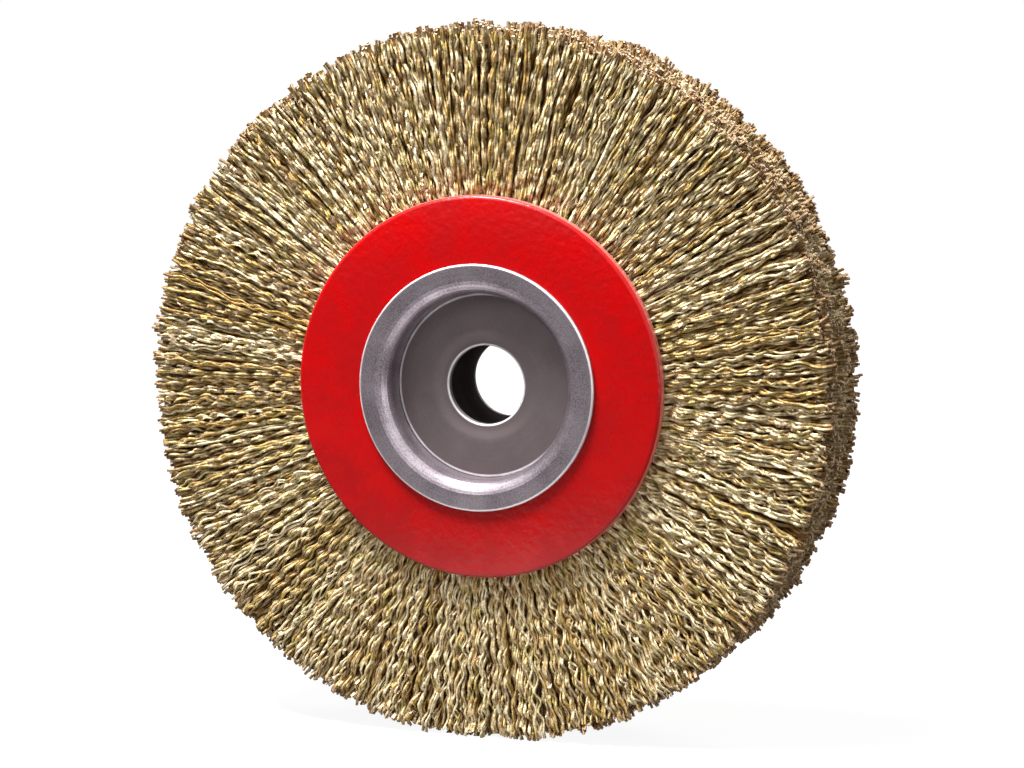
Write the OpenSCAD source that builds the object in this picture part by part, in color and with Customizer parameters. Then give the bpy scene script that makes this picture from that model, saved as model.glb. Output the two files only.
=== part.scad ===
// Crimped wire wheel brush: rows of brass-coated wire looped over core rings, clamped between
// two painted flanges by a flared hub sleeve, with a pair of push-in arbor adapters.
// Every piece is drawn round Z with its front face up, then the wheel is stood upright:
// its axis lies along Y, its front faces -Y and the origin is the wheel's centre.

/* [Wires] */
// Outer diameter over the wire tips
brush_d = 200; // [180:1:250]
// Width of the trimmed face over the wire tips
face_w = 35; // [33:0.5:42]
// Width of one row of wires where it is clamped
row_w = 9.9; // [9:0.1:11]
// Width of the opening between neighbouring locks of wire
slot_w = 0.7; // [0.4:0.1:1]
// Locks of wire in each bundle
locks_per_bundle = 15; // [10:1:18]
// Wire diameter of the ring that a row is looped over
core_wire_d = 4.4; // [3:0.2:5.6]

/* [Clamp plates and spacers] */
// Thickness of each clamp plate under a flange
plate_t = 2.4; // [1.6:0.1:3]
// How far the clamp plates end inside the flanges' rolled edge
plate_inset = 1; // [0.5:0.5:6]
// Thickness of each spacer between two rows
spacer_t = 1.1; // [0.8:0.1:2]
// Outer diameter of the spacers
spacer_d = 98; // [84:1:104]

/* [Flanges] */
// Outer diameter of the painted flanges
flange_d = 107.4; // [106:0.1:120]
// Sheet thickness of the flanges
flange_t = 1.2; // [0.8:0.1:1.6]
// Radius of the rolled edge, measured on its outside
flange_edge_r = 1.3; // [1.2:0.1:3]
// Straight skirt below the rolled edge
flange_skirt = 1.9; // [0.6:0.1:2.2]

/* [Hub sleeve] */
// Bore of the sleeve, which takes the adapters
sleeve_bore_d = 52.4; // [45:0.1:53]
// Wall thickness of the sleeve
sleeve_wall = 1.4; // [1:0.1:2]
// Radius of the shoulder that flares out to the rim, measured in the bore
shoulder_r = 4.6; // [3:0.1:6]
// Outer diameter of the flared rim
rim_d = 69.4; // [66:0.2:76]
// Rounding of the rim's outer edge
rim_edge_r = 0.6; // [0.3:0.1:0.8]

/* [Adapters] */
// Bore for the grinder's arbor
arbor_d = 22.2; // [16:0.1:25.4]
// Depth of the adapter's face below the rim
recess = 9.1; // [7:0.1:11]
// Sheet thickness of the adapters
adapter_t = 2; // [1.5:0.1:2.5]
// Rounding of the adapter's outer corner
adapter_corner_r = 0.5; // [0.3:0.1:1.5]
// Diameter at which the adapter's face starts to dish
dish_d = 33; // [30:0.5:38]
// How far the dish falls to the lip of the bore
dish_depth = 0.6; // [0.4:0.1:2]
// Rounding of the lip round the bore
lip_r = 0.8; // [0.4:0.1:1]

/* [Clearances] */
// Radial running clearance of an adapter in the sleeve
adapter_fit = 0.05; // [0.02:0.01:0.1]
// Gap left where the two adapters meet in the middle
adapter_meet = 0.3; // [0.2:0.1:0.6]
// Clearance between a row of wires and the faces that clamp it
row_clear = 0.05; // [0.02:0.01:0.1]
// Gap between neighbouring rows at the wire tips
tip_clear = 0.3; // [0.2:0.1:0.6]
// Radial clearance between the sleeve and what is threaded on it
seat_clear = 0.3; // [0.2:0.05:0.4]
// Clearance between a core ring and the wires looped over it
core_clear = 0.1; // [0.05:0.05:0.2]

/* [Hidden] */
ROWS = ["front", "middle", "rear"];
BUNDLES = 8;

STEEL = "lightsteelblue";
BARE_STEEL = "silver";
PAINT = "firebrick";
WIRE = "darkkhaki";
ARC_STEPS = 8;
$fn = 120;

// Half widths and faces of the clamped stack, outwards from the wheel's middle
row_count = len(ROWS);
row_pitch = row_w + spacer_t;
stack_z = (row_count * row_w + (row_count - 1) * spacer_t) / 2;
plate_z = stack_z + plate_t;
flange_z = plate_z + flange_t;
rim_z = flange_z + sleeve_wall;
face_z = rim_z - recess;

// Radii
brush_r = brush_d / 2;
flange_r = flange_d / 2;
plate_r = flange_r - flange_edge_r - plate_inset;
rim_r = rim_d / 2;
bore_r = sleeve_bore_d / 2;
sleeve_r = bore_r + sleeve_wall;
bend_r = bore_r + shoulder_r;
arbor_r = arbor_d / 2;
row_hw = row_w / 2 - row_clear;
tip_hw = (face_w / row_count - tip_clear) / 2;
core_r = sleeve_r + seat_clear + row_hw;
slot_r = core_r + row_hw + seat_clear;
bundle_angle = 360 / BUNDLES;
lock_angle = bundle_angle / locks_per_bundle;

// Points of an arc round c, from angle a to angle b
function arc(c, r, a, b) = [
    for (i = [0:ARC_STEPS]) let (t = a + (b - a) * i / ARC_STEPS) c + r * [cos(t), sin(t)]
];

// Points of a smooth fall from a to b, level at both ends, that stop one step before b
function fall(a, b) = [
    for (i = [0:ARC_STEPS - 1]) let (t = i / ARC_STEPS)
        [a.x + (b.x - a.x) * t, a.y + (b.y - a.y) * (1 - cos(180 * t)) / 2]
];

// The same outline below the middle, in reverse order
function below(points) = [
    for (i = [len(points) - 1:-1:0]) [points[i].x, -points[i].y]
];

// Stands a piece upright, with its front facing -Y
module upright() {
    rotate([90, 0, 0]) children();
}

// Turns a front piece round into the rear one
module side(front) {
    mirror([0, 0, front ? 0 : 1]) children();
}

// Flat ring with its lower face at z
module washer(z, t, outer_r, inner_r) {
    translate([0, 0, z]) difference() {
        cylinder(h = t, r = outer_r);
        translate([0, 0, -1]) cylinder(h = t + 2, r = inner_r);
    }
}

// One tube, flared over both flanges: shoulder, flat rim with a rounded edge, and back
module hub_sleeve() {
    bend = [bend_r, rim_z - shoulder_r];
    flare = concat(
        arc(bend, shoulder_r, 180, 90),
        arc([rim_r - rim_edge_r, rim_z - rim_edge_r], rim_edge_r, 90, 0),
        [[rim_r, rim_z - sleeve_wall]],
        arc(bend, shoulder_r - sleeve_wall, 90, 180)
    );
    color(BARE_STEEL) upright() rotate_extrude() polygon(concat(flare, below(flare)));
}

// Pressed disc with a rolled edge and a short skirt; its hole clears the sleeve's bend
module flange(front) {
    hole_r = bend_r + seat_clear;
    roll = [flange_r - flange_edge_r, flange_z - flange_edge_r];
    skirt_z = roll.y - flange_skirt;
    outline = concat(
        [[hole_r, flange_z]],
        arc(roll, flange_edge_r, 90, 0),
        [[flange_r, skirt_z], [flange_r - flange_t, skirt_z]],
        arc(roll, flange_edge_r - flange_t, 0, 90),
        [[hole_r, plate_z]]
    );
    color(PAINT) upright() side(front) rotate_extrude() polygon(outline);
}

// Thick ring that presses a flange's load onto the wires; it clears the sleeve's bend
module clamp_plate(front) {
    drop = max(0, plate_z - (rim_z - shoulder_r));
    inner_bend = shoulder_r - sleeve_wall;
    bend_at_plate = bend_r - sqrt(inner_bend * inner_bend - drop * drop);
    color(STEEL) upright() side(front)
        washer(stack_z, plate_t, plate_r, bend_at_plate + seat_clear);
}

// Thin ring that keeps two rows apart
module spacer(front) {
    color(STEEL) upright() side(front)
        washer(row_pitch / 2 - spacer_t / 2, spacer_t, spacer_d / 2, sleeve_r + seat_clear);
}

// Round wire ring that a row of wires is looped over; step counts rows forward of the middle
module core_ring(step) {
    color(STEEL) upright() rotate_extrude()
        translate([core_r, step * row_pitch]) circle(d = core_wire_d);
}

// Section of one row: a loop round the core ring, a clamped stretch, then a fan to the tips
module row_section(step) {
    root_z = step * row_pitch;
    tip_z = step * face_w / row_count;
    difference() {
        union() {
            translate([core_r, root_z]) circle(r = row_hw);
            polygon([
                [core_r, root_z - row_hw], [flange_r, root_z - row_hw], [brush_r, tip_z - tip_hw],
                [brush_r, tip_z + tip_hw], [flange_r, root_z + row_hw], [core_r, root_z + row_hw]
            ]);
        }
        translate([core_r, root_z]) circle(r = core_wire_d / 2 + core_clear);
    }
}

// One bundle of a row: locks of wire that share the loop and part outside it. The rows are
// staggered, so that the openings between locks don't line up from row to row
module wires(step, i) {
    first = (i - 1) * bundle_angle + (step / row_count - 1 / 2) * lock_angle;
    joint = asin(row_clear / core_r);
    color(WIRE) upright() rotate([0, 0, first]) difference() {
        rotate([0, 0, joint]) rotate_extrude(angle = bundle_angle - 2 * joint) row_section(step);
        for (k = [0:locks_per_bundle]) rotate([0, 0, k * lock_angle])
            translate([slot_r, -slot_w / 2, -face_w]) cube([brush_r, slot_w, 2 * face_w]);
    }
}

// Drawn cup that fills the sleeve: straight skirt, flat face, shallow dish and a rounded lip
module adapter(front) {
    outer_r = bore_r - adapter_fit;
    inner_r = outer_r - adapter_t;
    dish_r = dish_d / 2;
    lip_z = face_z - dish_depth;
    outline = concat(
        [[outer_r, adapter_meet / 2]],
        arc([outer_r - adapter_corner_r, face_z - adapter_corner_r], adapter_corner_r, 0, 90),
        fall([dish_r, face_z], [arbor_r + lip_r, lip_z]),
        arc([arbor_r + lip_r, lip_z - lip_r], lip_r, 90, 180),
        [[arbor_r, lip_z - adapter_t]],
        fall([arbor_r + lip_r, lip_z - adapter_t], [dish_r, face_z - adapter_t]),
        [[dish_r, face_z - adapter_t], [inner_r, face_z - adapter_t], [inner_r, adapter_meet / 2]]
    );
    color(BARE_STEEL) upright() side(front) rotate_extrude() polygon(outline);
}

hub_sleeve();
flange(true);  // front_flange
flange(false);  // rear_flange
clamp_plate(true);  // front_clamp_plate
clamp_plate(false);  // rear_clamp_plate
spacer(true);  // front_spacer
spacer(false);  // rear_spacer
adapter(true);  // front_adapter
adapter(false);  // rear_adapter
for (r = [0:row_count - 1])
    core_ring((row_count - 1) / 2 - r);
for (r = [0:row_count - 1], i = [1:BUNDLES])
    wires((row_count - 1) / 2 - r, i);
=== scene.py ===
"""Looks of a crimped wire wheel brush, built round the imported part.

Lengths are in metres and angles in degrees. The wheel's axis lies along Y, its front faces -Y
and the origin is its centre, so a place is given by radius and angle in XZ and by depth along Y.
"""

import logging
import math
from dataclasses import dataclass
from enum import Enum
from functools import lru_cache
from typing import Mapping, Optional, Sequence, Union

import bpy
from mathutils import Euler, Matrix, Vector


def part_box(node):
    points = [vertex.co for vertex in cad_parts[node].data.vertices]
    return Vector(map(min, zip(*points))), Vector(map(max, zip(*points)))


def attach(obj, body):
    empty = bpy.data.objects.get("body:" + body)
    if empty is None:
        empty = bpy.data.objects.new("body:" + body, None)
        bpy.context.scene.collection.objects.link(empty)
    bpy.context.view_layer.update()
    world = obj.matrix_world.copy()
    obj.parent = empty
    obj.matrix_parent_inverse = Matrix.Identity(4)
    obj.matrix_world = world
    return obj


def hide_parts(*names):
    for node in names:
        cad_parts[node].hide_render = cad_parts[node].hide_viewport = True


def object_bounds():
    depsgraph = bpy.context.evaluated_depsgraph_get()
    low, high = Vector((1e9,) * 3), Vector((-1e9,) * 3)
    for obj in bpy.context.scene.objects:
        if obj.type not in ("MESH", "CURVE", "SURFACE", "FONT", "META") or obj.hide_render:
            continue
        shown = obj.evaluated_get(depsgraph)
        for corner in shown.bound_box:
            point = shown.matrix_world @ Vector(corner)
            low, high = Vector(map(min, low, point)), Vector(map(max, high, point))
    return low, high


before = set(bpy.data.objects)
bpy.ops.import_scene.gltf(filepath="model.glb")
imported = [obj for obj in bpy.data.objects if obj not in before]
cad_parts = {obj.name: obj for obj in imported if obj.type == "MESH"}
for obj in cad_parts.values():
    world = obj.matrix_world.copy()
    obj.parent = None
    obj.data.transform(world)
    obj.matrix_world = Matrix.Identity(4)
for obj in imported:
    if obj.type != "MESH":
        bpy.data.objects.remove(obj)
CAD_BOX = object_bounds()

LOG = logging.getLogger("wire_wheel")
MM = 0.001
TURN = 2 * math.pi
GOLDEN = 0.618
Colour = tuple[float, float, float]


def shade(red: int, green: int, blue: int) -> Colour:
    """Turns a display colour into the linear one that shaders work in.

    Args:
        red: red from 0 to 255.
        green: green from 0 to 255.
        blue: blue from 0 to 255.

    Returns:
        The linear colour.
    """
    def linear(value: int) -> float:
        """Gives the linear value of one display channel."""
        part = value / 255
        return part / 12.92 if part <= 0.04045 else ((part + 0.055) / 1.055) ** 2.4

    return linear(red), linear(green), linear(blue)


# ---------------------------------------------------------------- node trees


class TreeKind(Enum):
    """The kinds of node tree that the script builds."""

    GEOMETRY = "GeometryNodeTree"
    SHADER = "ShaderNodeTree"


class Plug(Enum):
    """Types of a group's outputs, and of its inputs that have no plain starting value."""

    MESH = "NodeSocketGeometry"
    MATERIAL = "NodeSocketMaterial"
    NUMBER = "NodeSocketFloat"


class Field:
    """An output socket. Arithmetic on it adds Math nodes to its tree."""

    def __init__(self, graph: "Graph", socket: bpy.types.NodeSocket) -> None:
        """Wraps a socket.

        Args:
            graph: the tree that the socket belongs to.
            socket: the output socket.
        """
        self.graph = graph
        self.socket = socket

    def __add__(self, other: "Value") -> "Field":
        """Adds a value."""
        return self.graph.math("ADD", self, other)

    def __radd__(self, other: "Value") -> "Field":
        """Adds to a value."""
        return self.graph.math("ADD", other, self)

    def __sub__(self, other: "Value") -> "Field":
        """Takes a value away."""
        return self.graph.math("SUBTRACT", self, other)

    def __rsub__(self, other: "Value") -> "Field":
        """Is taken away from a value."""
        return self.graph.math("SUBTRACT", other, self)

    def __mul__(self, other: "Value") -> "Field":
        """Multiplies by a value."""
        return self.graph.math("MULTIPLY", self, other)

    def __rmul__(self, other: "Value") -> "Field":
        """Multiplies a value."""
        return self.graph.math("MULTIPLY", other, self)

    def __truediv__(self, other: "Value") -> "Field":
        """Divides by a value."""
        return self.graph.math("DIVIDE", self, other)

    def __gt__(self, other: "Value") -> "Field":
        """Gives 1 where it is above a value, and 0 elsewhere."""
        return self.graph.math("GREATER_THAN", self, other)


Value = Union[Field, float, int, bool, str, Sequence[float], bpy.types.ID]
Inputs = Mapping[Union[str, int], Value]


class Graph:
    """A node tree that is being built."""

    def __init__(self, tree: bpy.types.NodeTree) -> None:
        """Starts on a tree.

        Args:
            tree: the tree that nodes are added to.
        """
        self.tree = tree
        self.entry: Optional[bpy.types.Node] = None

    @classmethod
    def group(cls, name: str, kind: TreeKind, inputs: Mapping[str, object],
              outputs: Mapping[str, Plug]) -> "Graph":
        """Makes a node group.

        Args:
            name: the group's name.
            kind: geometry or shader.
            inputs: each input's name, with its starting value or its socket type.
            outputs: each output's name, with its socket type.

        Returns:
            The group's graph, with its entry node in place.
        """
        graph = cls(bpy.data.node_groups.new(name, kind.value))
        types = {int: "NodeSocketInt", float: "NodeSocketFloat"}
        for label, start in inputs.items():
            plain = not isinstance(start, Plug)
            socket_type = types[type(start)] if plain else start.value
            made = graph.tree.interface.new_socket(label, in_out="INPUT", socket_type=socket_type)
            if plain:
                made.default_value = start
        for label, plug in outputs.items():
            graph.tree.interface.new_socket(label, in_out="OUTPUT", socket_type=plug.value)
        graph.entry = graph.tree.nodes.new("NodeGroupInput")
        return graph

    def inlet(self, label: str) -> Field:
        """Gives one of the group's inputs."""
        return Field(self, self.entry.outputs[label])

    def finish(self, results: Mapping[str, Field]) -> bpy.types.NodeTree:
        """Connects the group's outputs.

        Args:
            results: each output's name, with what it gives.

        Returns:
            The finished tree.
        """
        self.node("NodeGroupOutput", results)
        return self.tree

    def plug(self, value: Value, socket: bpy.types.NodeSocket) -> None:
        """Links or sets one input socket.

        Args:
            value: a field to link, or a constant to set.
            socket: the input socket.
        """
        if isinstance(value, Field):
            self.tree.links.new(value.socket, socket)
        elif socket.type == "RGBA":
            socket.default_value = (*value, 1.0)
        else:
            socket.default_value = value

    def node(self, kind: str, inputs: Optional[Inputs] = None,
             **settings: object) -> bpy.types.Node:
        """Adds a node.

        Args:
            kind: the node's type name.
            inputs: values for its sockets, by name or number.
            settings: the node's own properties.

        Returns:
            The new node.
        """
        made = self.tree.nodes.new(kind)
        for label, setting in settings.items():
            setattr(made, label, setting)
        for label, value in (inputs or {}).items():
            self.plug(value, made.inputs[label])
        return made

    def out(self, kind: str, output: Union[str, int], inputs: Optional[Inputs] = None,
            **settings: object) -> Field:
        """Adds a node and gives one of its outputs.

        Args:
            kind: the node's type name.
            output: the output's name or number.
            inputs: values for its sockets, by name or number.
            settings: the node's own properties.

        Returns:
            The output as a field.
        """
        return Field(self, self.node(kind, inputs, **settings).outputs[output])

    def use(self, group: bpy.types.NodeTree, inputs: Inputs, output: str) -> Field:
        """Places a node group and gives one of its outputs."""
        kind = "ShaderNodeGroup" if group.type == "SHADER" else "GeometryNodeGroup"
        return self.out(kind, output, inputs, node_tree=group)

    def math(self, operation: str, *values: Value) -> Field:
        """Adds a Math node and gives its result."""
        return self.out("ShaderNodeMath", 0, dict(enumerate(values)), operation=operation)

    def blend(self, factor: Value, low: Value, high: Value) -> Field:
        """Mixes two numbers.

        Args:
            factor: the share of the second number.
            low: the number at 0.
            high: the number at 1.

        Returns:
            The mixed number.
        """
        return self.out("ShaderNodeMix", 0, {0: factor, 2: low, 3: high}, data_type="FLOAT")

    def tint(self, factor: Value, low: Value, high: Value) -> Field:
        """Mixes two colours.

        Args:
            factor: the share of the second colour.
            low: the colour at 0.
            high: the colour at 1.

        Returns:
            The mixed colour.
        """
        return self.out("ShaderNodeMix", 2, {0: factor, 6: low, 7: high}, data_type="RGBA")

    def ramp(self, value: Value, low: float, high: float, start: Value = 0.0,
             end: Value = 1.0) -> Field:
        """Maps a value smoothly from one range to another.

        Args:
            value: the value to map.
            low: where the range starts.
            high: where it ends.
            start: the result at its start.
            end: the result at its end.

        Returns:
            The mapped number.
        """
        return self.out("ShaderNodeMapRange", 0,
                        {0: value, 1: low, 2: high, 3: start, 4: end},
                        interpolation_type="SMOOTHSTEP")

    def noise(self, size: float, detail: float = 2.0) -> Field:
        """Gives noise between 0 and 1 in the object's own coordinates.

        Args:
            size: the size of its blotches.
            detail: how many finer layers it has.

        Returns:
            The noise.
        """
        place = self.out("ShaderNodeTexCoord", "Object")
        return self.out("ShaderNodeTexNoise", 0,
                        {"Vector": place, "Scale": 1 / size, "Detail": detail})


# ------------------------------------------------------ shared shader effects


@lru_cache(None)
def wheel_place() -> bpy.types.NodeTree:
    """Makes the group that gives a point's radius, its height off the middle and its angle."""
    graph = Graph.group("Wheel place", TreeKind.SHADER, {},
                        {"Radius": Plug.NUMBER, "Height": Plug.NUMBER, "Angle": Plug.NUMBER})
    split = graph.node("ShaderNodeSeparateXYZ", {0: graph.out("ShaderNodeTexCoord", "Object")})
    x, y, z = (Field(graph, split.outputs[axis]) for axis in "XYZ")
    return graph.finish({
        "Radius": graph.math("SQRT", x * x + z * z),
        "Height": graph.math("ABSOLUTE", y),
        "Angle": graph.math("ARCTAN2", z, x),
    })


@lru_cache(None)
def mottle() -> bpy.types.NodeTree:
    """Makes the group that gives the uneven tone and gloss of a handled surface."""
    graph = Graph.group("Mottle", TreeKind.SHADER, {"Size": 0.01, "Grain": 0.0006, "Depth": 0.3},
                        {"Tone": Plug.NUMBER, "Grain": Plug.NUMBER})
    place = graph.out("ShaderNodeTexCoord", "Object")

    def layer(size: Field, detail: float) -> Field:
        """Gives one layer of noise centred on zero."""
        scale = graph.math("DIVIDE", 1.0, size)
        return graph.out("ShaderNodeTexNoise", 0,
                         {"Vector": place, "Scale": scale, "Detail": detail}) - 0.5

    broad = layer(graph.inlet("Size"), 4.0)
    fine = layer(graph.inlet("Grain"), 2.0)
    return graph.finish({"Tone": 1.0 + broad * graph.inlet("Depth") * 2.0, "Grain": fine})


@lru_cache(None)
def turning() -> bpy.types.NodeTree:
    """Makes the group that gives the fine rings that pressing and turning leave."""
    graph = Graph.group("Turning rings", TreeKind.SHADER, {"Pitch": 0.0004, "Waver": 0.6},
                        {"Rings": Plug.NUMBER})
    radius = graph.use(wheel_place(), {}, "Radius")
    height = graph.use(wheel_place(), {}, "Height")
    angle = graph.use(wheel_place(), {}, "Angle")
    along = (radius + height) / graph.inlet("Pitch")
    place = graph.out("ShaderNodeCombineXYZ", 0, {0: along, 1: angle * graph.inlet("Waver")})
    rings = graph.out("ShaderNodeTexNoise", 0, {"Vector": place, "Scale": 1.0, "Detail": 3.0})
    return graph.finish({"Rings": rings - 0.5})


@lru_cache(None)
def edge_highlight() -> bpy.types.NodeTree:
    """Makes the group that marks a round edge where a highlight is painted, such as one rubbed
    bright.
    """
    full_within = 0.3
    patch_size = 6 * MM
    graph = Graph.group("Edge highlight", TreeKind.SHADER,
                        {"Radius": 0.05, "Height": 0.02, "Width": 0.001, "Wear": 0.3},
                        {"Mask": Plug.NUMBER})
    across = graph.use(wheel_place(), {}, "Radius") - graph.inlet("Radius")
    along = graph.use(wheel_place(), {}, "Height") - graph.inlet("Height")
    away = graph.math("SQRT", across * across + along * along) / graph.inlet("Width")
    mask = graph.ramp(away, full_within, 1.0, 1.0, 0.0)
    patches = graph.ramp(graph.noise(patch_size, 3.0), 0.3, 0.7)
    kept = graph.blend(graph.inlet("Wear"), 1.0, patches)
    return graph.finish({"Mask": mask * kept})


# ------------------------------------------------------------------- finishes


@dataclass(frozen=True)
class Finish:
    """A procedural material of one name."""

    label: str

    def paint(self, graph: Graph) -> Mapping[str, Value]:
        """Gives the values of the shader's sockets."""
        raise NotImplementedError

    def material(self) -> bpy.types.Material:
        """Builds the material.

        Returns:
            The material.
        """
        made = bpy.data.materials.new(self.label)
        made.use_nodes = True
        graph = Graph(made.node_tree)
        shader = made.node_tree.nodes["Principled BSDF"]
        for label, value in self.paint(graph).items():
            graph.plug(value, shader.inputs[label])
        return made

    def dress(self, material: bpy.types.Material, nodes: Sequence[str]) -> None:
        """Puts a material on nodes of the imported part.

        Args:
            material: the material.
            nodes: the nodes' names.
        """
        for name in nodes:
            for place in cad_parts[name].material_slots:
                place.material = material


@dataclass(frozen=True)
class Enamel(Finish):
    """Thick red enamel over a slightly domed face, with orange peel and a thin pale line painted at
    its rim as a highlight.
    """

    label: str = "red_enamel_finish"
    colour: Colour = shade(201, 1, 4)
    dark: Colour = shade(180, 1, 5)
    # Colour of the highlight painted along the flange's rolled rim
    edge: Colour = shade(240, 140, 130)
    flange_radius: float = 53.7 * MM
    highlight_inset: float = 0.28 * MM
    highlight_width: float = 0.22 * MM
    highlight_share: float = 0.7
    blotch: float = 12 * MM
    grain: float = 0.9 * MM
    unevenness: float = 0.8
    peel: float = 2.2 * MM
    fine_peel: float = 0.8 * MM
    fine_share: float = 0.3
    peel_height: float = 0.12 * MM
    dome: float = 0.12
    dome_start: float = 35 * MM
    roll: float = 1.3 * MM
    gloss: float = 0.32
    dull_roughness: float = 0.32
    glossy_roughness: float = 0.22

    def paint(self, graph: Graph) -> Mapping[str, Value]:
        """Gives the values of the shader's sockets."""
        uneven = {"Size": self.blotch, "Grain": self.grain, "Depth": self.unevenness}
        tone = graph.use(mottle(), uneven, "Tone")
        grain = graph.use(mottle(), uneven, "Grain")
        worn = graph.tint(graph.ramp(tone + grain * 0.2, 0.7, 1.3), self.dark, self.colour)
        radius = graph.use(wheel_place(), {}, "Radius")
        # A pale band painted just inside the flange's rim stands for the highlight on its rolled
        # edge
        line = self.flange_radius - self.highlight_inset
        rim_highlight = graph.ramp(radius, line, line + self.highlight_width)
        peel = graph.noise(self.peel, 1.0) + graph.noise(self.fine_peel, 1.0) * self.fine_share
        flat_end = self.flange_radius - self.roll
        rise = graph.math("MAXIMUM", graph.math("MINIMUM", radius, flat_end) - self.dome_start, 0.0)
        slope = rise * rise * (-self.dome / (2 * (flat_end - self.dome_start)))
        return {
            "Base Color": graph.tint(rim_highlight * self.highlight_share, worn, self.edge),
            "Roughness": graph.ramp(tone + grain * 0.4, 0.7, 1.3,
                                    self.dull_roughness, self.glossy_roughness),
            "Specular IOR Level": self.gloss,
            "Normal": graph.out("ShaderNodeBump", 0, {
                "Strength": 1.0, "Distance": 1.0, "Height": peel * self.peel_height + slope}),
        }


@dataclass(frozen=True)
class RubbedHighlightEdge:
    """A round edge rubbed bright, where a highlight is painted: its radius, its height off the
    middle and its width.
    """

    radius: float
    height: float
    width: float


@dataclass(frozen=True)
class Steel(Finish):
    """Pressed steel with faint turning rings, speckle, mottled tone and rubbed edges, where bright
    highlights are painted.
    """

    label: str = "steel"
    colour: Colour = shade(160, 157, 160)
    dark: Colour = shade(118, 113, 114)
    # Colour of the highlights painted on rubbed edges
    highlight_colour: Colour = shade(252, 248, 249)
    metallic: float = 0.9
    roughness: float = 0.3
    rings: float = 0.25
    speckle: float = 0.3
    grain: float = 0.6 * MM
    pitch: float = 0.5 * MM
    waver: float = 0.8
    blotch: float = 9 * MM
    unevenness: float = 0.3
    relief: float = 0.05 * MM
    wear: float = 0.35
    highlight_metallic: float = 0.1
    highlights: tuple[RubbedHighlightEdge, ...] = ()

    def paint(self, graph: Graph) -> Mapping[str, Value]:
        """Gives the values of the shader's sockets."""
        rings = graph.use(turning(), {"Pitch": self.pitch, "Waver": self.waver}, "Rings")
        uneven = {"Size": self.blotch, "Grain": self.grain, "Depth": self.unevenness}
        tone = graph.use(mottle(), uneven, "Tone")
        grain = graph.use(mottle(), uneven, "Grain")
        base = graph.tint(graph.ramp(tone + rings * self.rings + grain * self.speckle, 0.6, 1.4),
                          self.dark, self.colour)
        gloss = graph.ramp(tone + grain * 0.5, 0.5, 1.5, self.roughness + 0.06,
                           self.roughness - 0.05)
        metallic: Value = self.metallic
        # Each listed edge gets a bright, less metallic band: a painted highlight, broken into
        # patches as rubbed wear
        for edge in self.highlights:
            highlight_mask = graph.use(edge_highlight(), {"Radius": edge.radius, "Height": edge.height,
                                             "Width": edge.width, "Wear": self.wear}, "Mask")
            base = graph.tint(highlight_mask, base, self.highlight_colour)
            metallic = graph.blend(highlight_mask, metallic, self.highlight_metallic)
        return {
            "Base Color": base,
            "Metallic": metallic,
            "Roughness": gloss,
            "Normal": graph.out("ShaderNodeBump", 0, {
                "Strength": 0.2, "Distance": self.relief, "Height": rings + grain}),
        }


@dataclass(frozen=True)
class Tinge:
    """A colour that comes in where a value passes from one level to another."""

    colour: Colour
    none_at: float
    full_at: float
    share: float = 1.0

    def over(self, graph: Graph, value: Field, base: Field) -> Field:
        """Lays the tinge over a colour.

        Args:
            graph: the material's tree.
            value: the value that brings it in.
            base: the colour below it.

        Returns:
            The tinged colour.
        """
        mask = graph.ramp(value, self.none_at, self.full_at) * self.share
        return graph.tint(mask, base, self.colour)


@dataclass(frozen=True)
class BrassWire(Finish):
    """Brass-coated steel wire, each wire of its own tone, grimy and painted in shade deep down,
    grey where cut.
    """

    label: str = "brass_wire_finish"
    pale: Colour = shade(255, 242, 204)
    gold: Colour = shade(182, 148, 82)
    patch: float = 1.6 * MM
    wire_share: float = 0.7
    patch_share: float = 1.6
    tone_offset: float = 0.65
    peach: Tinge = Tinge(shade(204, 166, 112), 0.52, 0.68, 0.35)
    peach_size: float = 3.1 * MM
    olive: Tinge = Tinge(shade(188, 174, 96), 0.5, 0.68, 0.55)
    olive_size: float = 4.3 * MM
    stain: Tinge = Tinge(shade(122, 82, 22), 0.5, 0.36, 0.5)
    stain_size: float = 1.3 * MM
    # Deeper points are painted darker brown, partly as grime and partly as painted shade
    grime_and_shade: Tinge = Tinge(shade(122, 82, 22), 0.05, 0.65, 0.95)
    # The bed's outer end is painted darkest, as painted shade in the gaps between the tips
    gap_shade: Tinge = Tinge(shade(40, 26, 12), 1.6, 2.0)
    dusk: Tinge = Tinge(shade(142, 108, 72), 0.955, 0.995, 0.8)
    cut: Colour = shade(214, 190, 164)
    metallic: float = 0.25
    gloss: float = 0.3
    dent: float = 0.9 * MM
    dent_depth: float = 0.4 * MM

    def paint(self, graph: Graph) -> Mapping[str, Value]:
        """Gives the values of the shader's sockets."""
        def mark(name: str) -> Field:
            """Reads one of the wires' own attributes."""
            return graph.out("ShaderNodeAttribute", "Fac", attribute_name=name)

        patches = graph.noise(self.patch, 3.0)
        tone = (mark("tone") * self.wire_share + patches * self.patch_share
                - self.tone_offset)
        colour = graph.tint(graph.ramp(tone, 0.1, 0.9), self.gold, self.pale)
        colour = self.peach.over(graph, graph.noise(self.peach_size), colour)
        colour = self.olive.over(graph, graph.noise(self.olive_size), colour)
        colour = self.stain.over(graph, graph.noise(self.stain_size, 1.0), colour)
        # Grime and painted shade by depth, then painted shade on the bed between the tips
        colour = self.grime_and_shade.over(graph, mark("depth"), colour)
        colour = self.gap_shade.over(graph, mark("depth"), colour)
        colour = self.dusk.over(graph, mark("reach"), colour)
        return {
            "Base Color": graph.tint(mark("cut"), colour, self.cut),
            "Metallic": self.metallic,
            "Specular IOR Level": self.gloss,
            "Roughness": graph.ramp(patches, 0.3, 0.7, 0.46, 0.64),
            "Normal": graph.out("ShaderNodeBump", 0, {
                "Strength": 0.7, "Distance": self.dent_depth, "Height": graph.noise(self.dent)}),
        }


# ------------------------------------------------------------- geometry trees


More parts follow.
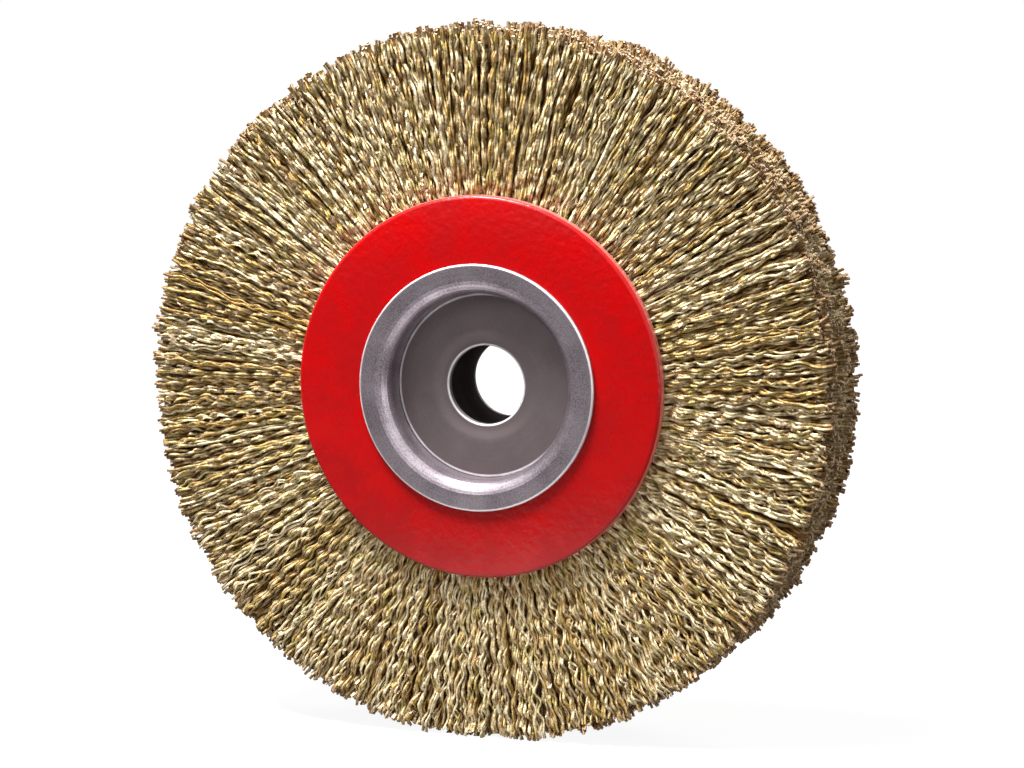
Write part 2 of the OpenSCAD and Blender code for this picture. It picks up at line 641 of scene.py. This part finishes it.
class Dice:
    """Random numbers that one wire or one rope of wires shares, each from its own stream."""

    def __init__(self, graph: Graph, wire: Field, rope: Field) -> None:
        """Starts the streams.

        Args:
            graph: the geometry tree.
            wire: the wire's number.
            rope: the number of the rope that it belongs to.
        """
        self.graph = graph
        self.wire_number = wire
        self.rope_number = rope
        self.streams = 0

    def roll(self, owner: Field, low: Value, high: Value) -> Field:
        """Gives a random number from the next stream.

        Args:
            owner: the number of the wire or rope that shares it.
            low: the lowest number.
            high: the highest number.

        Returns:
            The random number.
        """
        self.streams += 1
        return self.graph.out("FunctionNodeRandomValue", 1,
                              {2: low, 3: high, "ID": owner,
                               "Seed": self.graph.inlet("Seed") + self.streams},
                              data_type="FLOAT")

    def wire(self, low: Value, high: Value) -> Field:
        """Gives a number that all points of one wire share."""
        return self.roll(self.wire_number, low, high)

    def rope(self, low: Value, high: Value) -> Field:
        """Gives a number that all wires of one rope share."""
        return self.roll(self.rope_number, low, high)


def stored(graph: Graph, mesh: Field, name: str, value: Value, domain: str = "POINT") -> Field:
    """Stores a number on a mesh or curve under a name.

    Args:
        graph: the geometry tree.
        mesh: the geometry.
        name: the attribute's name.
        value: what it holds.
        domain: where it is kept.

    Returns:
        The geometry with the attribute.
    """
    return graph.out("GeometryNodeStoreNamedAttribute", 0,
                     {"Geometry": mesh, "Name": name, "Value": value},
                     data_type="FLOAT", domain=domain)


def round_place(graph: Graph, radius: Value, angle: Value, sideways: Value, depth: Value) -> Field:
    """Gives the point at a radius and angle round the wheel's axis.

    Args:
        graph: the geometry tree.
        radius: distance from the axis.
        angle: angle from +X towards +Z, in radians.
        sideways: how far it is set off round the wheel.
        depth: its place along Y.

    Returns:
        The position.
    """
    cosine = graph.math("COSINE", angle)
    sine = graph.math("SINE", angle)
    return graph.out("ShaderNodeCombineXYZ", 0, {
        "X": radius * cosine - sideways * sine,
        "Y": depth,
        "Z": radius * sine + sideways * cosine,
    })


@lru_cache(None)
def crimped_wires() -> bpy.types.NodeTree:
    """Makes the tree that fans out a sector of crimped wires, in ropes that nest together."""
    graph = Graph.group("Crimped wires", TreeKind.GEOMETRY, {
        "Columns": 20, "Layers": 4, "Wires per Rope": 3, "Steps": 38, "Sides": 4, "Seed": 1,
        "Start Angle": 0.0, "Sweep": math.radians(45.0),
        "Root Radius": 0.05, "Tip Radius": 0.1, "Ragged": 0.001,
        "Notch Depth": 0.002, "Notch Size": 0.005,
        "Face at Root": -0.0153, "Face at Tip": -0.0172,
        "Back at Root": -0.011, "Back at Tip": -0.011,
        "Stacking": 1.0, "Loose": 0.0005, "Fray": 0.001,
        "Rope at Root": 0.0004, "Rope at Tip": 0.0006,
        "Wander": 0.0008, "Wander Length": 0.05,
        "Crimp Length": 0.0075, "Crimp Height": 0.0005, "Lift": 1.5, "Wire Radius": 0.0005,
    }, {"Wires": Plug.MESH})
    inlet = graph.inlet
    wire = graph.out("GeometryNodeCurveOfPoint", "Curve Index")
    per_rope = inlet("Wires per Rope")
    rope = graph.math("FLOOR", (wire + 0.5) / per_rope)
    strand = wire - rope * per_rope
    column = graph.math("FLOOR", (rope + 0.5) / inlet("Layers"))
    layer = rope - column * inlet("Layers")
    dice = Dice(graph, wire, rope)

    line = graph.out("GeometryNodeCurvePrimitiveLine", 0, {"End": (1.0, 0.0, 0.0)})
    blank = graph.out("GeometryNodeResampleCurve", 0,
                      {"Curve": line, "Count": inlet("Steps") + 1})
    seeds = graph.out("GeometryNodePoints", 0,
                      {"Count": inlet("Columns") * inlet("Layers") * per_rope})
    copies = graph.out("GeometryNodeInstanceOnPoints", 0, {"Points": seeds, "Instance": blank})
    blanks = graph.out("GeometryNodeRealizeInstances", 0, {"Geometry": copies})
    along = graph.out("GeometryNodeSplineParameter", "Factor")

    # Each layer is set off from the one below it, so that ropes nest and don't line up
    stagger = graph.math("FRACT", layer * GOLDEN)
    angle = (inlet("Start Angle") + inlet("Sweep") / inlet("Columns")
             * (column + stagger + dice.rope(-0.3, 0.3)))
    sunk = graph.blend(inlet("Stacking"), dice.rope(0.0, 1.0),
                       (layer + dice.rope(0.0, 1.0)) / inlet("Layers"))
    face = graph.blend(along, inlet("Face at Root"), inlet("Face at Tip"))
    back = graph.blend(along, inlet("Back at Root"), inlet("Back at Tip"))
    tip_depth = graph.blend(sunk, inlet("Face at Tip"), inlet("Back at Tip"))

    # The tips are trimmed unevenly, in notches that neighbouring ropes share
    spot = round_place(graph, inlet("Tip Radius"), angle, 0.0, tip_depth)
    lumps = graph.out("ShaderNodeTexNoise", 0, {
        "Vector": spot, "Scale": graph.math("DIVIDE", 1.0, inlet("Notch Size")), "Detail": 1.0})
    tip = (inlet("Tip Radius") - inlet("Notch Depth") * graph.ramp(lumps, 0.35, 0.65)
           - inlet("Ragged") * dice.rope(0.0, 1.5)
           + inlet("Ragged") * dice.wire(-0.35, 0.35))
    radius = graph.blend(along, inlet("Root Radius"), tip)

    # The wires of a rope lie round its middle and part towards the tips
    turn = dice.rope(0.0, TURN) + strand / per_rope * TURN + along * dice.rope(-2.5, 2.5)
    spread = graph.blend(along, inlet("Rope at Root"), inlet("Rope at Tip"))
    fray = dice.wire(-1.0, 1.0) * along * along * along * inlet("Fray")
    # The crimp is a wave along the radius, whose pitch and height waver slowly
    length = inlet("Crimp Length") * dice.rope(0.85, 1.15) * dice.wire(0.98, 1.02)
    cycles = radius / length * TURN
    slip = graph.math("SINE", cycles * 0.37 + dice.rope(0.0, TURN))
    swell = graph.math("SINE", cycles * 0.23 + dice.wire(0.0, TURN))
    phase = dice.rope(0.0, TURN) + dice.wire(-0.5, 0.5)
    height = (inlet("Crimp Height") * dice.rope(0.6, 1.2) * dice.wire(0.8, 1.1)
              * (1.0 + swell * 0.35))
    wave = graph.math("SINE", cycles + phase + slip * 0.9) * height
    lean = dice.rope(0.4, 1.4) + dice.wire(-0.35, 0.35)
    ease = graph.ramp(along, 0.0, 0.15, 0.3, 1.0)
    # Each rope also bends slowly from side to side
    bend = graph.math("SINE", radius / inlet("Wander Length") * dice.rope(4.0, 9.0)
                      + dice.rope(0.0, TURN))
    wander = bend * inlet("Wander") * dice.rope(0.3, 1.0) * along
    loose = inlet("Loose") * dice.wire(-1.0, 1.0) * along
    sideways = (graph.math("COSINE", turn) * spread + fray + wander
                + wave * graph.math("COSINE", lean))
    across = (graph.blend(sunk, face, back) + graph.math("SINE", turn) * spread + loose
              + wave * graph.math("SINE", lean) * inlet("Lift") * ease)

    tone = dice.rope(0.15, 0.85) + dice.wire(-0.2, 0.2)
    marked = stored(graph, blanks, "tone", tone)
    # How deep each point lies below the face, by which the finish paints grime and shade
    marked = stored(graph, marked, "depth", (across - face) / (back - face) * inlet("Stacking"))
    marked = stored(graph, marked, "reach", radius / inlet("Tip Radius"))
    placed = graph.out("GeometryNodeSetPosition", 0, {
        "Geometry": marked,
        "Position": round_place(graph, radius, angle, sideways, across),
    })
    rolled = graph.out("GeometryNodeSetCurveTilt", 0,
                       {"Curve": placed, "Tilt": dice.wire(0.0, math.pi)})
    profile = graph.out("GeometryNodeCurvePrimitiveCircle", 0,
                        {"Resolution": inlet("Sides"), "Radius": inlet("Wire Radius")})
    drawn = graph.out("GeometryNodeCurveToMesh", 0,
                      {"Curve": rolled, "Profile Curve": profile, "Fill Caps": True,
                       "Scale": dice.wire(0.85, 1.15)})
    return graph.finish({"Wires": capped(graph, drawn)})


CUT_FACING = 0.7


def capped(graph: Graph, wires: Field) -> Field:
    """Marks the cut ends of wires and keeps them flat, with the sides smooth.

    Args:
        graph: the geometry tree.
        wires: the wires' mesh.

    Returns:
        The mesh with its cut ends marked.
    """
    spot = graph.out("GeometryNodeInputPosition", 0)
    outwards = graph.out("ShaderNodeVectorMath", 0,
                         {0: spot, 1: (1.0, 0.0, 1.0)}, operation="MULTIPLY")
    ray = graph.out("ShaderNodeVectorMath", 0, {0: outwards}, operation="NORMALIZE")
    facing = graph.out("ShaderNodeVectorMath", "Value",
                       {0: ray, 1: graph.out("GeometryNodeInputNormal", 0)},
                       operation="DOT_PRODUCT")
    end = graph.math("ABSOLUTE", facing) > CUT_FACING
    marked = stored(graph, wires, "cut", end, "FACE")
    return graph.out("GeometryNodeSetShadeSmooth", 0,
                     {"Geometry": marked, "Shade Smooth": 1.0 - end})


@lru_cache(None)
def packed_bed() -> bpy.types.NodeTree:
    """Makes the tree of the tightly packed wires deep in a sector, as one rough block."""
    graph = Graph.group("Packed bed", TreeKind.GEOMETRY, {
        "Around": 46, "Outwards": 12, "Start Angle": 0.0, "Sweep": math.radians(45.0),
        "Inner Radius": 0.036, "Outer Radius": 0.092, "Low": -0.012, "High": -0.006,
        "Low at Tip": -0.013, "High at Tip": -0.006, "Rough": 0.0005,
    }, {"Bed": Plug.MESH})
    inlet = graph.inlet
    block = graph.out("GeometryNodeMeshCube", 0,
                      {"Size": (1.0, 1.0, 1.0), "Vertices X": inlet("Around"),
                       "Vertices Y": inlet("Outwards"), "Vertices Z": 2})
    split = graph.node("ShaderNodeSeparateXYZ", {0: graph.out("GeometryNodeInputPosition", 0)})
    around, outwards, across = (Field(graph, split.outputs[axis]) + 0.5 for axis in "XYZ")
    rough = graph.out("FunctionNodeRandomValue", 1,
                      {2: -1.0, 3: 1.0, "Seed": 3}, data_type="FLOAT") * inlet("Rough")
    place = round_place(
        graph,
        graph.blend(outwards, inlet("Inner Radius"), inlet("Outer Radius")) + rough,
        inlet("Start Angle") + around * inlet("Sweep"),
        0.0,
        graph.blend(across, graph.blend(outwards, inlet("Low"), inlet("Low at Tip")),
                    graph.blend(outwards, inlet("High"), inlet("High at Tip"))) + rough,
    )
    # Its marks are stored while it is a plain cube, because its place is what they read
    # The bed's depth lies past the wires', so it is painted fully in grime and shade, and darkest
    # at its outer end as painted shade between the tips
    depth = graph.ramp(outwards, 0.92, 1.0, 1.5, 2.0)
    bed = block
    for name, value in {"tone": 0.3, "depth": depth, "reach": 0.5}.items():
        bed = stored(graph, bed, name, value)
    return graph.finish({"Bed": graph.out("GeometryNodeSetPosition", 0,
                                          {"Geometry": bed, "Position": place})})


@dataclass(frozen=True)
class Wires:
    """Sizes of one sort of wires in a bundle."""

    columns: int
    layers: int
    steps: int
    root_radius: float
    stacking: float
    loose: float
    rope_at_root: float
    rope_at_tip: float
    per_rope: int = 3
    crimp_length: float = 6.4 * MM
    crimp_height: float = 0.48 * MM
    lift: float = 2.4
    wander: float = 1.1 * MM
    wander_length: float = 30 * MM
    wire_radius: float = 0.46 * MM
    ragged: float = 0.9 * MM
    notch_depth: float = 2.2 * MM
    notch_size: float = 3.2 * MM
    fray: float = 1.0 * MM
    sides: int = 3

    def values(self) -> dict[str, float]:
        """Gives the inputs of the wires' tree that don't depend on the bundle."""
        return {
            "Columns": self.columns, "Layers": self.layers, "Wires per Rope": self.per_rope,
            "Steps": self.steps, "Sides": self.sides, "Root Radius": self.root_radius,
            "Ragged": self.ragged, "Notch Depth": self.notch_depth,
            "Notch Size": self.notch_size, "Stacking": self.stacking, "Loose": self.loose,
            "Fray": self.fray, "Rope at Root": self.rope_at_root,
            "Rope at Tip": self.rope_at_tip, "Crimp Length": self.crimp_length,
            "Crimp Height": self.crimp_height, "Lift": self.lift,
            "Wire Radius": self.wire_radius,
            "Wander": self.wander, "Wander Length": self.wander_length,
        }


FACE_WIRES = Wires(columns=27, layers=4, steps=46, root_radius=50 * MM, stacking=1.0,
                   loose=0.25 * MM, rope_at_root=0.34 * MM, rope_at_tip=0.6 * MM)
TIP_WIRES = Wires(columns=96, layers=1, steps=3, root_radius=88 * MM, stacking=0.0,
                  loose=0.3 * MM, rope_at_root=0.7 * MM, rope_at_tip=1.0 * MM, per_rope=6,
                  ragged=2.2 * MM, wire_radius=0.56 * MM, fray=1.6 * MM)


@dataclass(frozen=True)
class Depths:
    """Places along Y that bound a sort of wires, at their root and at their tips."""

    face_at_root: float
    face_at_tip: float
    back_at_root: float
    back_at_tip: float

    def values(self) -> dict[str, float]:
        """Gives them as inputs of the wires' tree."""
        return {
            "Face at Root": self.face_at_root, "Face at Tip": self.face_at_tip,
            "Back at Root": self.back_at_root, "Back at Tip": self.back_at_tip,
        }


class Row(Enum):
    """The three rows of wires, with the angle at which each one's first bundle starts."""

    FRONT = ("front", -0.5)
    MIDDLE = ("middle", -1.5)
    REAR = ("rear", -2.5)

    @property
    def label(self) -> str:
        """The row's name, as its nodes have it."""
        return self.value[0]

    @property
    def start(self) -> float:
        """The angle at which its first bundle starts."""
        return self.value[1]


def run_tree(name: str, tree: bpy.types.NodeTree, values: Mapping[str, object]) -> bpy.types.Object:
    """Runs a geometry tree once and keeps the result as a plain mesh.

    Args:
        name: the new object's name.
        tree: the geometry tree.
        values: the tree's inputs, by name.

    Returns:
        The object, with no modifier left on it.
    """
    made = bpy.data.objects.new(name, bpy.data.meshes.new(name + "_blank"))
    bpy.context.scene.collection.objects.link(made)
    modifier = made.modifiers.new("Grow", "NODES")
    modifier.node_group = tree
    for item in tree.interface.items_tree:
        if item.in_out == "INPUT" and item.name in values:
            modifier[item.identifier] = values[item.name]
    depsgraph = bpy.context.evaluated_depsgraph_get()
    mesh = bpy.data.meshes.new_from_object(made.evaluated_get(depsgraph),
                                           preserve_all_data_layers=True, depsgraph=depsgraph)
    made.modifiers.remove(modifier)
    made.data = mesh
    mesh.name = name
    return made


@dataclass(frozen=True)
class WireRow:
    """One row of wires: eight bundles of loose crimped wires over a packed bed."""

    row: Row
    material: bpy.types.Material
    bundles: int = 8
    tip_radius: float = 101.8 * MM
    bed_inner: float = 37 * MM
    bed_outer: float = 89.5 * MM
    bed_below: float = 3.6 * MM
    root_below: float = 0.75 * MM
    tip_below: float = 0.35 * MM
    layer: float = 3.8 * MM
    half_clamped: float = 4.9 * MM
    tip_margin: float = 0.3 * MM
    tip_lean: float = 0.3
    row_seed: int = 1000
    tip_seed: int = 500
    bundle_seed: int = 40

    def tree(self) -> bpy.types.NodeTree:
        """Builds the row's geometry tree: face wires, tip wires and the bed, joined."""
        graph = Graph.group(f"{self.row.label} bundle", TreeKind.GEOMETRY,
                            {"Seed": 1, "Start Angle": 0.0, "Material": Plug.MATERIAL},
                            {"Geometry": Plug.MESH})
        sweep = {"Start Angle": graph.inlet("Start Angle"),
                 "Sweep": math.radians(360 / self.bundles)}
        shapes = [
            graph.use(crimped_wires(), {
                **sweep, **wires.values(), **depths.values(),
                "Tip Radius": self.tip_radius, "Seed": graph.inlet("Seed") + offset,
            }, "Wires")
            for wires, depths, offset in self.sorts()
        ]
        low, high = self.span()
        tip_low, tip_high = self.tip_span()
        below_low, below_high = self.below()
        shapes.append(graph.use(packed_bed(), {
            **sweep, "Inner Radius": self.bed_inner, "Outer Radius": self.bed_outer,
            "Low": low + below_low, "High": high - below_high,
            "Low at Tip": tip_low + below_low, "High at Tip": tip_high - below_high,
        }, "Bed"))
        joined = graph.node("GeometryNodeJoinGeometry")
        for shape in shapes:
            graph.tree.links.new(shape.socket, joined.inputs[0])
        real = graph.out("GeometryNodeRealizeInstances", 0,
                         {"Geometry": Field(graph, joined.outputs[0])})
        return graph.finish({"Geometry": graph.out(
            "GeometryNodeSetMaterial", 0,
            {"Geometry": real, "Material": graph.inlet("Material")})})

    def span(self) -> tuple[float, float]:
        """Gives the row's lowest and highest Y where it is clamped."""
        low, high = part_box(f"{self.row.label}_core_ring")
        middle = (low.y + high.y) / 2
        return middle - self.half_clamped, middle + self.half_clamped

    def tip_span(self) -> tuple[float, float]:
        """Gives the row's lowest and highest Y at its tips."""
        low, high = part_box(f"{self.row.label}_wires_1")
        return low.y, high.y

    def below(self) -> tuple[float, float]:
        """Gives how far the bed lies below the open face, at the row's low and high Y."""
        return (self.bed_below if self.row is Row.FRONT else 0.0,
                self.bed_below if self.row is Row.REAR else 0.0)

    def sorts(self) -> list[tuple[Wires, Depths, int]]:
        """Lists the row's sorts of wires, with where they lie and a seed offset."""
        root_low, root_high = self.span()
        tip_low, tip_high = self.tip_span()
        below_low, below_high = self.below()
        tips = Depths(root_low + below_low, tip_low + self.tip_margin + self.tip_lean * below_low,
                      root_high - below_high,
                      tip_high - self.tip_margin - self.tip_lean * below_high)
        sorts = [(TIP_WIRES, tips, self.tip_seed)]
        faces = {Row.FRONT: (root_low, tip_low, 1), Row.REAR: (root_high, tip_high, -1)}
        if self.row in faces:
            root, tip, inwards = faces[self.row]
            face = Depths(root + inwards * self.root_below, tip + inwards * self.tip_below,
                          root + inwards * self.layer, tip + inwards * self.layer)
            sorts.append((FACE_WIRES, face, 0))
        return sorts

    def build(self) -> None:
        """Grows every bundle and lets it stand for its node."""
        tree = self.tree()
        first_seed = self.row_seed * (1 + list(Row).index(self.row))
        for number in range(1, self.bundles + 1):
            node = f"{self.row.label}_wires_{number}"
            start = self.row.start + (number - 1) * 360 / self.bundles
            piece = run_tree(f"{node}_strands", tree, {
                "Seed": first_seed + self.bundle_seed * number,
                "Start Angle": math.radians(start),
                "Material": self.material,
            })
            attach(piece, "brush")
            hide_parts(node)
            LOG.info("%s: %d faces", piece.name, len(piece.data.polygons))


# ------------------------------------------------------------- metal sub-parts


@dataclass(frozen=True)
class Metalwork:
    """The flanges, hub, adapters and inner rings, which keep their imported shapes."""

    # Widths and places of the bright bands painted as highlights on the hub's rim, the adapters'
    # outer corners and their bore lips
    highlight_width: float = 0.7 * MM
    rim_inset: float = 0.1 * MM
    rim_drop: float = 0.2 * MM
    corner_inset: float = 0.25 * MM
    lip_highlight: RubbedHighlightEdge = RubbedHighlightEdge(11.4 * MM, 11.0 * MM, 0.5 * MM)

    def build(self) -> None:
        """Dresses every metal node."""
        for finish, nodes in self.finishes():
            finish.dress(finish.material(), nodes)
            LOG.info("%s on %s", finish.label, ", ".join(nodes))

    def finishes(self) -> list[tuple[Finish, list[str]]]:
        """Lists each finish with the nodes that wear it."""
        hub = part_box("hub_sleeve")[1]
        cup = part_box("front_adapter")[0]
        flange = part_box("front_flange")[1]
        # Bright bands painted as highlights on the hub's rim and on the adapters' outer corners,
        # placed from the parts' sizes
        rim_highlight = RubbedHighlightEdge(hub.x - self.rim_inset, hub.y - self.rim_drop, self.highlight_width)
        corner = RubbedHighlightEdge(-cup.x - self.corner_inset, -cup.y, self.highlight_width)
        return [
            (Enamel(flange_radius=flange.x), ["front_flange", "rear_flange"]),
            (Steel("hub_steel_finish", colour=shade(178, 166, 173), dark=shade(102, 93, 99),
                   metallic=0.7, roughness=0.33, speckle=0.9, grain=0.42 * MM, highlights=(rim_highlight,)),
             ["hub_sleeve"]),
            (Steel("adapter_steel_finish", colour=shade(118, 106, 107), dark=shade(96, 84, 85),
                   metallic=0.5, roughness=0.5, highlights=(corner, self.lip_highlight)),
             ["front_adapter", "rear_adapter"]),
            (Steel("plated_steel_finish", colour=shade(170, 168, 160), dark=shade(120, 116, 104)),
             ["front_clamp_plate", "rear_clamp_plate", "front_spacer", "rear_spacer",
              "front_core_ring", "middle_core_ring", "rear_core_ring"]),
        ]


# --------------------------------------------------------------------- studio


@dataclass(frozen=True)
class Lamp:
    """A square soft box aimed at the wheel."""

    name: str
    place: tuple[float, float, float]
    size: float
    power: float

    def build(self) -> None:
        """Hangs the lamp."""
        light = bpy.data.lights.new(self.name, "AREA")
        light.size = self.size
        light.energy = self.power
        made = bpy.data.objects.new(self.name, light)
        bpy.context.scene.collection.objects.link(made)
        made.location = self.place
        made.rotation_euler = Vector(self.place).to_track_quat("Z", "Y").to_euler()


@dataclass(frozen=True)
class Studio:
    """A white room with a pale floor, soft boxes and the camera."""

    sensor_width: float = 36.0
    lens: float = 98.44
    azimuth: float = 19.335
    elevation: float = 6.302
    distance: float = 798.9 * MM
    aim: tuple[float, float, float] = (3.4 * MM, 1.1 * MM, -0.9 * MM)
    floor_half: float = 3.0
    floor_grey: float = 0.15
    floor_roughness: float = 0.9
    floor_glow: float = 0.92
    glow_span: tuple[float, float] = (0.15, 0.6)
    near: float = 2.4
    near_front: float = 0.11
    near_span: tuple[float, float] = (0.04, 0.15)
    ambient: float = 0.19
    flag: float = 0.05
    flag_way: tuple[float, float, float] = (-0.33, -0.94, -0.11)
    flag_span: tuple[float, float] = (0.8, 0.95)
    sides: float = 0.3
    panel: float = 1.8
    panel_way: tuple[float, float, float] = (0.2, -0.25, 0.95)
    panel_span: tuple[float, float] = (0.05, 0.6)
    lamps: tuple[Lamp, ...] = (
        Lamp("key_box", (-0.24, -0.3, 0.92), 0.34, 25.5),
        Lamp("sweep_box", (-0.3, -0.8, 0.5), 0.42, 1.1),
        Lamp("side_box", (0.9, -0.42, -0.05), 0.4, 1.9),
        Lamp("back_box", (0.2, 0.9, 0.8), 0.6, 5.0),
    )

    def build(self) -> None:
        """Sets up the room, the lamps and the camera."""
        bpy.context.scene.view_settings.view_transform = "Standard"
        self.build_world()
        self.build_floor()
        for lamp in self.lamps:
            lamp.build()
        self.build_camera()
        LOG.info("studio: %d lamps", len(self.lamps))

    def seen(self, graph: Graph, mirrored: Value, cast: float) -> Field:
        """Gives how bright the backdrop is: 1 to look at, less in a reflection or as a light.

        Args:
            graph: the shader tree.
            mirrored: how bright it is in reflections.
            cast: how bright it is as a light.

        Returns:
            The strength.
        """
        path = graph.node("ShaderNodeLightPath")
        camera, glossy, clear = (Field(graph, path.outputs[name]) for name in (
            "Is Camera Ray", "Is Glossy Ray", "Is Transmission Ray"))
        return graph.blend(graph.math("MAXIMUM", camera, clear),
                           graph.blend(glossy, cast, mirrored), 1.0)

    def build_world(self) -> None:
        """Makes the room white to look at and dimmer as a light."""
        world = bpy.data.worlds.new("white_room")
        bpy.context.scene.world = world
        world.use_nodes = True
        graph = Graph(world.node_tree)
        backdrop = world.node_tree.nodes["Background"]
        backdrop.inputs["Color"].default_value = (1.0, 1.0, 1.0, 1.0)
        way = graph.out("ShaderNodeTexCoord", "Generated")

        def towards(aim: Sequence[float]) -> Field:
            """Gives 1 towards a direction, and less away from it."""
            return graph.out("ShaderNodeVectorMath", "Value", {0: way, 1: aim},
                             operation="DOT_PRODUCT")

        lit = graph.ramp(towards(self.panel_way), *self.panel_span) * self.panel + self.sides
        mirrored = graph.blend(graph.ramp(towards(self.flag_way), *self.flag_span), lit, self.flag)
        graph.plug(self.seen(graph, mirrored, self.ambient), backdrop.inputs["Strength"])

    def build_floor(self) -> None:
        """Lays the floor under the wheel's lowest wires."""
        low = CAD_BOX[0][2]
        half = self.floor_half
        mesh = bpy.data.meshes.new("floor")
        corners = [(-half, -half, low), (half, -half, low), (half, half, low), (-half, half, low)]
        mesh.from_pydata(corners, [], [(0, 1, 2, 3)])
        floor = bpy.data.objects.new("floor", mesh)
        bpy.context.scene.collection.objects.link(floor)
        material = bpy.data.materials.new("floor_paper")
        material.use_nodes = True
        graph = Graph(material.node_tree)
        shader = material.node_tree.nodes["Principled BSDF"]
        shader.inputs["Roughness"].default_value = self.floor_roughness
        shader.inputs["Specular IOR Level"].default_value = 0.0
        shader.inputs["Base Color"].default_value = (*[self.floor_grey] * 3, 1.0)
        shader.inputs["Emission Color"].default_value = (1.0, 1.0, 1.0, 1.0)
        place = graph.out("ShaderNodeTexCoord", "Object")
        away = graph.out("ShaderNodeVectorMath", "Value", {0: place}, operation="LENGTH")
        glow = graph.ramp(away, *self.glow_span, self.floor_glow, 1.0)
        spot = graph.out("ShaderNodeVectorMath", "Value",
                         {0: place, 1: (0.0, -self.near_front, low)}, operation="DISTANCE")
        near = graph.ramp(spot, *self.near_span, self.near, 0.0)
        graph.plug(self.seen(graph, near, 0.0) * glow, shader.inputs["Emission Strength"])
        mesh.materials.append(material)

    def build_camera(self) -> None:
        """Sets the camera up in front of the wheel, a little to its right and above."""
        data = bpy.data.cameras.new("camera")
        data.lens = self.lens
        data.sensor_width = self.sensor_width
        data.clip_start = 0.01
        camera = bpy.data.objects.new("camera", data)
        bpy.context.scene.collection.objects.link(camera)
        turn = Euler((math.radians(90 - self.elevation), 0.0, math.radians(self.azimuth)))
        camera.rotation_euler = turn
        back = turn.to_matrix() @ Vector((0.0, 0.0, self.distance))
        camera.location = Vector(self.aim) + back
        bpy.context.scene.camera = camera


def main() -> None:
    """Builds the studio, the metalwork and the rows of wires, in that order."""
    logging.basicConfig(level=logging.INFO, format="%(message)s")
    Studio().build()
    Metalwork().build()
    brass = BrassWire().material()
    for row in Row:
        WireRow(row, brass).build()


if __name__ == "__main__":
    main()
